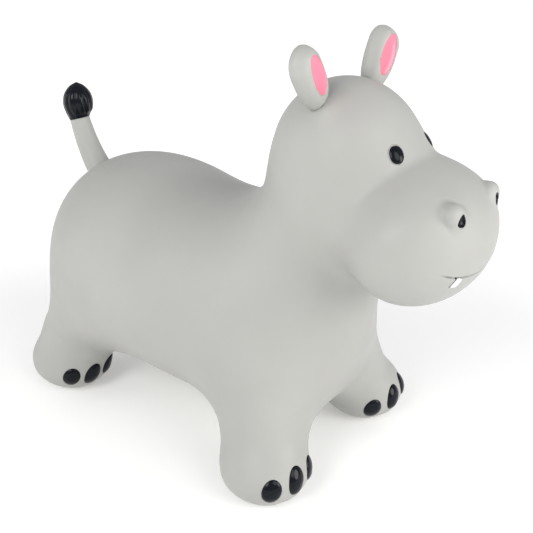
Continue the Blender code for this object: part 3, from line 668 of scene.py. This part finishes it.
def form_mesh(name, form, balls, cell):
    """Join rough balls, remesh them evenly and settle them on a form."""
    build = bmesh.new()
    for centre, radii in balls:
        place = Matrix.Translation(centre) @ Matrix.Diagonal((*radii, 1.0))
        bmesh.ops.create_icosphere(build, subdivisions=BALL_SUBDIVISIONS, radius=1.0,
                                   matrix=place)
    rough = new_piece(name + "_rough", to_mesh(build, name))
    remesh = rough.modifiers.new("even", "REMESH")
    remesh.mode = "VOXEL"
    remesh.voxel_size = cell
    even = evaluated_mesh(rough)
    bpy.data.objects.remove(rough, do_unlink=True)
    points = settle(form, get_points(even))
    for _ in range(RELAX_ROUNDS):
        points = settle(form, relax(even, points), SETTLE_AGAIN_ROUNDS)
    set_points(even, points)
    even.name = name
    return even


def refine(mesh, form, wanted=None):
    """Halve the faces whose middles are wanted, or all of them, and settle the new points."""
    build = bmesh.new()
    build.from_mesh(mesh)
    faces = build.faces[:]
    if wanted is not None:
        middles = np.array([face.calc_center_median() for face in faces])
        faces = [faces[index] for index in np.flatnonzero(wanted(middles))]
    edges = list({edge for face in faces for edge in face.edges})
    bmesh.ops.subdivide_edges(build, edges=edges, cuts=1, use_grid_fill=True)
    build.to_mesh(mesh)
    build.free()
    set_points(mesh, settle(form, get_points(mesh), SETTLE_AGAIN_ROUNDS))


def both_sides(at, radii):
    x, y, z = at
    return [((x, y, z), radii), ((x, -y, z), radii)]


def body_balls():
    balls = [(RUMP_AT, RUMP_RADII), (BELLY_AT, BELLY_RADII), (CHEST_AT, CHEST_RADII),
             (HEAD_AT, HEAD_RADII), (MUZZLE_AT, MUZZLE_RADII)]
    balls.append((NECK_LOW_AT, (NECK_LOW_RADIUS,) * 3))
    balls.append((NECK_TOP_AT, (NECK_TOP_RADIUS,) * 3))
    inside = np.array(MOUND_FACE_AT) - np.array(MOUND_FACING) * MOUND_RADIUS
    balls += both_sides(inside, (MOUND_RADIUS,) * 3)
    for hip, ankle, radius, foot_at in (
            (FRONT_HIP_AT, FRONT_ANKLE_AT, FRONT_ANKLE_RADIUS, FRONT_FOOT_AT),
            (HIND_HIP_AT, HIND_ANKLE_AT, HIND_ANKLE_RADIUS, HIND_FOOT_AT)):
        knee = tuple((np.array(hip) + np.array(ankle)) / 2.0)
        for at in (hip, knee, ankle):
            balls += both_sides(at, (radius,) * 3)
        balls += both_sides((*foot_at, FOOT_HALF_HEIGHT),
                            (FOOT_RADIUS, FOOT_RADIUS, FOOT_HALF_HEIGHT))
    return balls


def cut_flat_at_floor(mesh):
    """Give the feet flat soles at height 0."""
    build = bmesh.new()
    build.from_mesh(mesh)
    everything = build.verts[:] + build.edges[:] + build.faces[:]
    bmesh.ops.bisect_plane(build, geom=everything, dist=PROBE, plane_co=(0.0, 0.0, 0.0),
                           plane_no=(0.0, 0.0, -1.0), clear_outer=True)
    for vert in build.verts:
        if vert.co.z < PROBE:
            vert.co.z = 0.0
    rim = [edge for edge in build.edges if edge.is_boundary]
    bmesh.ops.holes_fill(build, edges=rim, sides=0)
    build.to_mesh(mesh)
    build.free()


def near_face_detail(points, mouth_reach, mound_reach, eye_share, hole_share):
    """Which points lie near the mouth line, the mounds, the eyes or the nostrils."""
    p = on_left(points)
    above = np.abs(p[:, 2] - mouth_height(p[:, 1]))
    chosen = (above < mouth_reach) & (p[:, 0] > MUZZLE_AT[0]) & (p[:, 1] < MOUTH_HALF_WIDTH)
    chosen |= nostril_mound(p) < mound_reach
    chosen |= oval_reach(p, EYE_AT, EYE_FACING, EYE_LONG_WAY, EYE_SIZE) < eye_share
    hole = oval_reach(p, NOSTRIL_AT, NOSTRIL_FACING, NOSTRIL_UP, NOSTRIL_SIZE, NOSTRIL_TAPER)
    return chosen | (hole < hole_share)


def drop(form, points, facing):
    """Slide points along one direction until they lie on a form."""
    for _ in range(DROP_ROUNDS):
        here = form(points)
        slope = (form(points + facing * PROBE) - here) / PROBE
        points = points - facing * (here / slope)[:, None]
    return points


def join_rings(build, first, second):
    count = len(first)
    for here in range(count):
        there = (here + 1) % count
        if len(second) == 1:
            build.faces.new((first[here], first[there], second[0]))
        else:
            build.faces.new((first[here], first[there], second[there], second[here]))


def patch_mesh(name, form, at, facing, up, size, bottom, profile, sides=ROUND_SIDES,
               corner=2.0, taper=0.0, skew=0.0):
    """A closed oval piece that follows a form.

    profile lists (share of the outline, height over the form) from the rim to the middle.
    """
    across, up, facing = own_axes(facing, up).T
    build = bmesh.new()
    rings = []
    turns = np.arange(sides) * 2.0 * pi / sides
    high = np.sign(np.sin(turns)) * np.abs(np.sin(turns)) ** (2.0 / corner)
    wide = np.sign(np.cos(turns)) * np.abs(np.cos(turns)) ** (2.0 / corner)
    wide = wide * (1.0 - taper * high) + skew * high
    flat = np.outer(wide * size[0], across) + np.outer(high * size[1], up)
    for share, height in ((0.0, bottom), (1.0, bottom), *profile):
        spread = share * (flat if share else flat[:1])
        points = drop(form, np.array(at) + spread, facing) + facing * height
        rings.append([build.verts.new(point) for point in points])
    for outer, inner in zip(rings[1:], rings[2:]):
        join_rings(build, outer, inner)
    join_rings(build, rings[1], rings[0])
    return to_mesh(build, name)


def dome(rim, crown, power=DOME_POWER, root=DOME_ROOT, shares=DOME_SHARES):
    """The profile of a pillow-shaped top, or of a hollow one where the crown is negative."""
    return [(share, rim + crown * (1.0 - share ** power) ** root) for share in shares]


def mirrored(values, side):
    return tuple(np.array(values) * np.array((1.0, side, 1.0)))


# Materials

def make_material(name, colour, vary, roughness, rough_vary, grain, grain_size,
                  specular=0.5):
    """A moulded plastic with soft colour variation, uneven gloss and a fine grain."""
    material = bpy.data.materials.new(name)
    material.use_nodes = True
    nodes = material.node_tree.nodes
    links = material.node_tree.links
    shader = nodes["Principled BSDF"]
    place = nodes.new("ShaderNodeTexCoord")

    def noise(scale, detail):
        texture = nodes.new("ShaderNodeTexNoise")
        texture.inputs["Scale"].default_value = scale
        texture.inputs["Detail"].default_value = detail
        links.new(place.outputs["Object"], texture.inputs["Vector"])
        return texture.outputs["Fac"]

    def spread(factor, low, high):
        ramp = nodes.new("ShaderNodeMapRange")
        ramp.inputs["From Min"].default_value = NOISE_RANGE[0]
        ramp.inputs["From Max"].default_value = NOISE_RANGE[1]
        ramp.inputs["To Min"].default_value = low
        ramp.inputs["To Max"].default_value = high
        links.new(factor, ramp.inputs["Value"])
        return ramp.outputs["Result"]

    mix = nodes.new("ShaderNodeMix")
    mix.data_type = "RGBA"
    mix.inputs["A"].default_value = (*[part * (1.0 - vary) for part in colour[0]], 1.0)
    mix.inputs["B"].default_value = (*[min(1.0, part * (1.0 + vary)) for part in colour[1]],
                                     1.0)
    links.new(spread(noise(*COLOUR_NOISE), 0.0, 1.0), mix.inputs["Factor"])
    links.new(mix.outputs["Result"], shader.inputs["Base Color"])
    links.new(spread(noise(*GLOSS_NOISE), roughness - rough_vary, roughness + rough_vary),
              shader.inputs["Roughness"])
    bump = nodes.new("ShaderNodeBump")
    bump.inputs["Strength"].default_value = grain
    bump.inputs["Distance"].default_value = GRAIN_HEIGHT
    links.new(noise(1.0 / grain_size, GRAIN_DETAIL), bump.inputs["Height"])
    links.new(bump.outputs["Normal"], shader.inputs["Normal"])
    shader.inputs["IOR"].default_value = PLASTIC_IOR
    shader.inputs["Specular IOR Level"].default_value = specular
    return material


grey = make_material("soft_grey_pvc", ((0.384, 0.382, 0.365), (0.399, 0.397, 0.380)),
                     vary=0.012, roughness=0.50, rough_vary=0.05, grain=0.12,
                     grain_size=0.0009)
black = make_material("gloss_black_paint", ((0.003, 0.004, 0.007), (0.005, 0.006, 0.010)),
                      vary=0.1, roughness=0.13, rough_vary=0.03, grain=0.08,
                      grain_size=0.0012, specular=0.20)
pink = make_material("gloss_pink_paint", ((0.88, 0.19, 0.28), (0.92, 0.21, 0.31)),
                     vary=0.01, roughness=0.24, rough_vary=0.04, grain=0.10,
                     grain_size=0.0012)
white = make_material("white_trim_paint", ((0.86, 0.86, 0.84), (0.90, 0.90, 0.88)),
                      vary=0.01, roughness=0.35, rough_vary=0.04, grain=0.05,
                      grain_size=0.0010)
plug_plastic = make_material("plug_plastic", ((0.80, 0.80, 0.78), (0.84, 0.84, 0.82)),
                             vary=0.01, roughness=0.38, rough_vary=0.05, grain=0.08,
                             grain_size=0.0008)


def dress(piece, body_name, slot, *nodes):
    """Tie a piece to its body and the solids that it stands for; its material slot is not used."""
    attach(piece, body_name)
    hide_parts(*nodes)


# The skin

def build_skin():
    mesh = form_mesh("skin", plain_body, body_balls(), SKIN_CELL)
    refine(mesh, carved_body)
    for reaches in FACE_DETAIL_STEPS:
        refine(mesh, carved_body,
               lambda middles, reaches=reaches: near_face_detail(middles, *reaches))
    cut_flat_at_floor(mesh)
    mesh.shade_smooth()
    skin = new_piece("skin", mesh, grey)
    cut_slots_and_bore(skin)
    return skin


def tooth_slit_axes(side):
    """Middle, outward way, half height along the tooth and facing of a tooth's slit, which a black
    lining darkens as painted shade.
    """
    axes = own_axes(mirrored(TOOTH_FACING, side), mirrored(TOOTH_UP, side))
    out = axes[:, 0] * np.sign(axes[1, 0]) * side
    along = axes[:, 1] * TOOTH_SIZE[1] + out * TOOTH_SKEW * TOOTH_SIZE[0]
    reach = TOOTH_SIZE[0] + TOOTH_SLIT_GAP + TOOTH_SLIT_WIDTH / 2.0
    return np.array(mirrored(TOOTH_AT, side)) + out * reach, out, along, axes[:, 2]


def add_tooth_slot(build, side):
    """A narrow slot down the outer edge of a tooth."""
    middle, out, along, facing = tooth_slit_axes(side)
    rings = []
    for depth in (-TOOTH_SLIT_DEPTH, TOOTH_SLIT_DEPTH):
        corners = []
        for way, share in ((-0.5, 0), (0.5, 0), (0.5, 1), (-0.5, 1)):
            corners.append(middle + out * way * TOOTH_SLIT_WIDTH
                           + along * TOOTH_SLIT_REACH[share] + facing * depth)
        rings.append([build.verts.new(corner) for corner in corners])
    join_rings(build, *rings)
    build.faces.new(rings[0])
    build.faces.new(rings[-1])


def cut_slots_and_bore(skin):
    """Cut the stepped valve bore and the slots beside the teeth."""
    seat = Vector((VALVE_AT, 0.0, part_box("air_plug")[0].z))
    build = bmesh.new()
    rings = []
    for radius, height in ((VALVE_RADIUS, -VALVE_STEP), (VALVE_RADIUS, VALVE_STEP),
                           (VALVE_BORE, VALVE_STEP), (VALVE_BORE, VALVE_DEPTH)):
        turns = np.arange(ROUND_SIDES) * 2.0 * pi / ROUND_SIDES
        rings.append([build.verts.new(seat + Vector((radius * cos(turn), radius * sin(turn),
                                                     height))) for turn in turns])
    for first, second in zip(rings, rings[1:]):
        join_rings(build, first, second)
    build.faces.new(rings[0])
    build.faces.new(rings[-1])
    for _, side in SIDES:
        add_tooth_slot(build, side)
    cutter = new_piece("cutter", to_mesh(build, "cutter"))
    cutter.location = TO_ROW
    cut = skin.modifiers.new("cut", "BOOLEAN")
    cut.solver = "EXACT"
    cut.object = cutter
    mesh = evaluated_mesh(skin)
    mesh.set_sharp_from_angle(angle=SHARP_ANGLE)
    skin.modifiers.clear()
    skin.data = mesh
    bpy.data.objects.remove(cutter, do_unlink=True)


skin = build_skin()
dress(skin, "body", "grey_skin", "body_shell")


# Ears

def build_ears():
    for side_name, side in SIDES:
        root = ear_root(side)
        axes = ear_axes(side)
        up = axes[:, 2]

        def form(points, side=side):
            return carved_ear(points, side)

        def face(points, side=side):
            return plain_ear(points, side)

        balls = [(root + up * EAR_LOW_AT[2], (EAR_LOW_RADIUS * EAR_BALL_SHARE,) * 3),
                 (root + up * EAR_TOP_AT[2] / 2.0, (EAR_LOW_RADIUS,) * 3),
                 (root + up * EAR_TOP_AT[2], (EAR_TOP_RADIUS,) * 3)]
        mesh = form_mesh("ear_flap_" + side_name, form, balls, EAR_CELL)
        refine(mesh, form, lambda middles, side=side: near_inner_ear_rim(middles, side))
        mesh.shade_smooth()
        flap = new_piece("ear_flap_" + side_name, mesh, grey)
        spot = root + axes @ (EAR_FACE, INNER_EAR_OUT, INNER_EAR_RISE)
        profile = dome(-INNER_EAR_RIM_DROP, -INNER_EAR_HOLLOW, INNER_EAR_HOLLOW_POWER,
                       INNER_EAR_HOLLOW_ROOT, INNER_EAR_SHARES)
        mesh = patch_mesh("ear_dish_" + side_name, face, spot, axes[:, 0], up,
                          (INNER_EAR_HALF_WIDTH, INNER_EAR_HALF_HEIGHT),
                          -INNER_EAR_POCKET - BELOW_POCKET, profile, sides=INNER_EAR_SIDES)
        dish = new_piece("ear_dish_" + side_name, mesh, pink)
        for piece, slot, node in ((flap, "grey_skin", "ear_" + side_name),
                                  (dish, "pink_gloss", "inner_ear_" + side_name)):
            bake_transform(piece)
            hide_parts(node)


build_ears()


# Tail

def tail_point(share):
    """A point on the bent tail's middle line and the way the line goes there."""
    start, bend, end = (np.array(at) for at in (TAIL_ROOT_AT, TAIL_BEND_AT, TAIL_COLLAR_AT))
    share_in = max(share, 0.0)
    point = ((1.0 - share_in) ** 2 * start + 2.0 * share_in * (1.0 - share_in) * bend
             + share_in ** 2 * end)
    along = (1.0 - share_in) * (bend - start) + share_in * (end - bend)
    along /= np.linalg.norm(along)
    return point + along * min(share, 0.0), along


def ring_at(build, centre, along, radii):
    """A ring across a direction; each corner has its own radius."""
    side = np.array((0.0, 1.0, 0.0))
    back = np.cross(side, along)
    ring = []
    for step, reach in enumerate(radii):
        angle = 2.0 * pi * step / len(radii)
        ring.append(build.verts.new(centre + reach * (cos(angle) * back + sin(angle) * side)))
    return ring


def eased(places, values, at):
    """A smooth curve through the given values."""
    places = np.array(places)
    values = np.array(values)
    slopes = np.gradient(values, places)
    index = int(np.clip(np.searchsorted(places, at) - 1, 0, len(places) - 2))
    length = places[index + 1] - places[index]
    t = (at - places[index]) / length
    return ((2 * t ** 3 - 3 * t ** 2 + 1) * values[index]
            + (t ** 3 - 2 * t ** 2 + t) * length * slopes[index]
            + (3 * t ** 2 - 2 * t ** 3) * values[index + 1]
            + (t ** 3 - t ** 2) * length * slopes[index + 1])


def build_tail():
    around = np.ones(ROUND_SIDES)
    build = bmesh.new()
    rings = []
    for share in (-TAIL_INSIDE, -TAIL_INSIDE / 2.0, *np.linspace(0.0, 1.0, TAIL_RINGS)):
        centre, along = tail_point(share)
        radius = TAIL_RADIUS + max(share, 0.0) * (TAIL_COLLAR_RADIUS - TAIL_RADIUS)
        rings.append(ring_at(build, centre, along, radius * around))
    for first, second in zip(rings, rings[1:]):
        join_rings(build, first, second)
    collar, along = tail_point(1.0)
    join_rings(build, rings[0], [build.verts.new(tail_point(-TAIL_INSIDE)[0])])
    end = collar + along * TAIL_END_RISE
    rings.append(ring_at(build, end, along, TAIL_COLLAR_RADIUS * TAIL_END_SHARE * around))
    join_rings(build, rings[-2], rings[-1])
    join_rings(build, rings[-1], [build.verts.new(end)])
    stem = new_piece("tail_stalk", to_mesh(build, "tail_stalk"), grey)

    sides = TUFT_LOCKS * TUFT_LOCK_SIDES
    build = bmesh.new()
    base = collar + along * TUFT_RAISE
    upright = np.array((0.0, 0.0, 1.0))
    turns = np.arange(sides) * 2.0 * pi / sides
    rings = [[build.verts.new(base)]]
    for rise_share in TUFT_RISE_SHARES:
        radius = TUFT_RADIUS * eased(TUFT_HEIGHT_SHARES, TUFT_RADIUS_SHARES, rise_share)
        if rise_share == 0.0:
            radius *= TUFT_BASE_SHARE
        swirl = turns + TUFT_TWIST * sin(rise_share * TUFT_TWIST_TURN)
        waver = TUFT_LOCK_WAVER * np.sin(2.0 * turns)
        lock = np.abs(np.sin(TUFT_LOCKS * swirl / 2.0 + waver))
        strength = (step_up(rise_share / TUFT_GROOVE_GROWTH)
                    * step_up((TUFT_GROOVE_END - rise_share) / TUFT_GROOVE_FADE))
        radii = radius - TUFT_GROOVE * strength * (1.0 - lock ** TUFT_LOCK_ROOT)
        turned = step_up(rise_share / TUFT_UPRIGHT_SHARE)
        way = along * (1.0 - turned) + upright * turned
        way /= np.linalg.norm(way)
        centre = base + upright * TUFT_HEIGHT * rise_share
        rings.append(ring_at(build, centre, way, radii))
    rings.append([build.verts.new(base + upright * TUFT_HEIGHT * TUFT_TIP_SHARE)])
    for outer, inner in zip(rings[1:], rings[2:]):
        join_rings(build, outer, inner)
    join_rings(build, rings[1], rings[0])
    tuft = new_piece("tail_brush", to_mesh(build, "tail_brush"), black)
    root, way = tail_point(0.0)
    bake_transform(stem)
    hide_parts("tail_stem")
    dress(tuft, "tail", "black_gloss", "tail_tuft")


build_tail()


# Eyes, nostrils, teeth, the painted shade in the slots beside the teeth, and toenails

def build_trim():
    for side_name, side in SIDES:
        mesh = patch_mesh("eye_dome_" + side_name, plain_body, mirrored(EYE_AT, side),
                          mirrored(EYE_FACING, side), mirrored(EYE_LONG_WAY, side), EYE_SIZE,
                          -EYE_DEPTH, dome(-EYE_RIM_DROP, EYE_CROWN, EYE_DOME_POWER),
                          corner=EYE_CORNER)
        eye = new_piece("eye_dome_" + side_name, mesh, black)
        dress(eye, "body", "black_gloss", "eye_" + side_name)
        mesh = patch_mesh("nostril_dish_" + side_name, plain_body, mirrored(NOSTRIL_AT, side),
                          mirrored(NOSTRIL_FACING, side), mirrored(NOSTRIL_UP, side),
                          NOSTRIL_SIZE, -NOSTRIL_POCKET - BELOW_POCKET, NOSTRIL_DISH,
                          taper=NOSTRIL_TAPER)
        nostril = new_piece("nostril_dish_" + side_name, mesh, black)
        dress(nostril, "body", "black_gloss", "nostril_" + side_name)
        mesh = patch_mesh("tooth_cap_" + side_name, plain_body, mirrored(TOOTH_AT, side),
                          mirrored(TOOTH_FACING, side), mirrored(TOOTH_UP, side), TOOTH_SIZE,
                          -TOOTH_DEPTH, dome(RIM_RISE, TOOTH_CROWN, TOOTH_DOME_POWER),
                          corner=TOOTH_CORNER, skew=TOOTH_SKEW * side)
        tooth = new_piece("tooth_cap_" + side_name, mesh, white)
        dress(tooth, "body", "white_trim", "tooth_" + side_name)
        # A black lining in the slot beside each tooth is painted shade: it darkens the slot wall
        # that the lamps light.
        middle, _, along, facing = tooth_slit_axes(side)
        lift = along * sum(TOOTH_SLIT_REACH) / 2.0
        length = np.linalg.norm(along) * (TOOTH_SLIT_REACH[1] - TOOTH_SLIT_REACH[0]) / 2.0
        mesh = patch_mesh("tooth_slit_shade_" + side_name, plain_body, middle + lift, facing, along,
                          (TOOTH_SLIT_WIDTH / 2.0, length), -TOOTH_SLIT_DEPTH,
                          [(share, TOOTH_SLIT_SHADE_HEIGHT) for share in (1.0, 0.5, 0.0)],
                          corner=TOOTH_SLIT_CORNER)
        slit_shade = new_piece("tooth_slit_shade_" + side_name, mesh, black)
        dress(slit_shade, "body", "black_gloss", "tooth_" + side_name)
        for label, _, _, _, at, facing, up, size in nail_places(side):
            mesh = patch_mesh("nail_" + label, carved_body, at, facing, up, size,
                              -NAIL_DEPTH, dome(RIM_RISE, NAIL_CROWN))
            nail = new_piece("nail_" + label, mesh, black)
            dress(nail, "body", "black_gloss", "toenail_" + label)


build_trim()

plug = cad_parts["air_plug"]
plug.data.materials.clear()
plug.data.materials.append(plug_plastic)


# Floor, light and camera

def build_stage():
    build = bmesh.new()
    bmesh.ops.create_grid(build, x_segments=1, y_segments=1, size=FLOOR_HALF_SIZE)
    floor_mesh = to_mesh(build, "floor")
    floor = bpy.data.objects.new("floor", floor_mesh)
    bpy.context.scene.collection.objects.link(floor)
    material = bpy.data.materials.new("white_floor")
    material.use_nodes = True
    nodes = material.node_tree.nodes
    links = material.node_tree.links
    shader = nodes["Principled BSDF"]
    shader.inputs["Base Color"].default_value = FLOOR_COLOUR
    shader.inputs["Roughness"].default_value = FLOOR_ROUGHNESS
    shader.inputs["Emission Color"].default_value = (*LAMP_COLOUR, 1.0)
    place = nodes.new("ShaderNodeTexCoord")
    reach = nodes.new("ShaderNodeVectorMath")
    reach.operation = "LENGTH"
    links.new(place.outputs["Object"], reach.inputs[0])
    glow = nodes.new("ShaderNodeMapRange")
    glow.inputs["From Min"].default_value = FLOOR_GLOW_PLACES[0]
    glow.inputs["From Max"].default_value = FLOOR_GLOW_PLACES[1]
    glow.inputs["To Min"].default_value = FLOOR_GLOW_STRENGTHS[0]
    glow.inputs["To Max"].default_value = FLOOR_GLOW_STRENGTHS[1]
    links.new(reach.outputs["Value"], glow.inputs["Value"])
    links.new(glow.outputs["Result"], shader.inputs["Emission Strength"])
    floor_mesh.materials.append(material)


def add_lamp(name, azimuth, elevation, power):
    light = bpy.data.lights.new(name, "AREA")
    light.shape = "DISK"
    light.size = LAMP_SIZE
    light.energy = power
    light.color = LAMP_COLOUR
    lamp = bpy.data.objects.new(name, light)
    bpy.context.scene.collection.objects.link(lamp)
    turn = radians(azimuth)
    rise = radians(elevation)
    way = Vector((cos(turn) * cos(rise), sin(turn) * cos(rise), sin(rise)))
    target = Vector(LAMP_TARGET)
    at = target + way * LAMP_DISTANCE
    lamp.location = at
    lamp.rotation_euler = (target - at).to_track_quat("-Z", "Y").to_euler()


def build_light():
    world = bpy.data.worlds.new("studio")
    bpy.context.scene.world = world
    world.use_nodes = True
    backdrop = world.node_tree.nodes["Background"]
    backdrop.inputs["Color"].default_value = WORLD_COLOUR
    backdrop.inputs["Strength"].default_value = WORLD_STRENGTH
    for name, azimuth, elevation, power in LAMPS:
        add_lamp(name, azimuth, elevation, power)


def build_camera():
    focal_pixels = 802.2
    frame_pixels = 533.0
    middle = (265.14, 267.97)
    azimuth = radians(38.67)
    elevation = radians(26.06)
    distance = 0.8997
    target = Vector((0.04433, 0.0, 0.20547)) + TO_ROW
    back = Vector((sin(azimuth) * cos(elevation), -cos(azimuth) * cos(elevation),
                   sin(elevation)))
    right = Vector((cos(azimuth), sin(azimuth), 0.0))
    up = back.cross(right)
    data = bpy.data.cameras.new("camera")
    data.sensor_width = 36.0
    data.lens = data.sensor_width * focal_pixels / frame_pixels
    data.shift_x = -(middle[0] - frame_pixels / 2.0) / frame_pixels
    data.shift_y = (middle[1] - frame_pixels / 2.0) / frame_pixels
    data.clip_start = 0.01
    camera = bpy.data.objects.new("camera", data)
    bpy.context.scene.collection.objects.link(camera)
    place = Matrix((right, up, back)).transposed().to_4x4()
    place.translation = target + back * distance
    camera.matrix_world = place
    bpy.context.scene.camera = camera


build_stage()
build_light()
build_camera()
bpy.context.scene.view_settings.view_transform = "Standard"
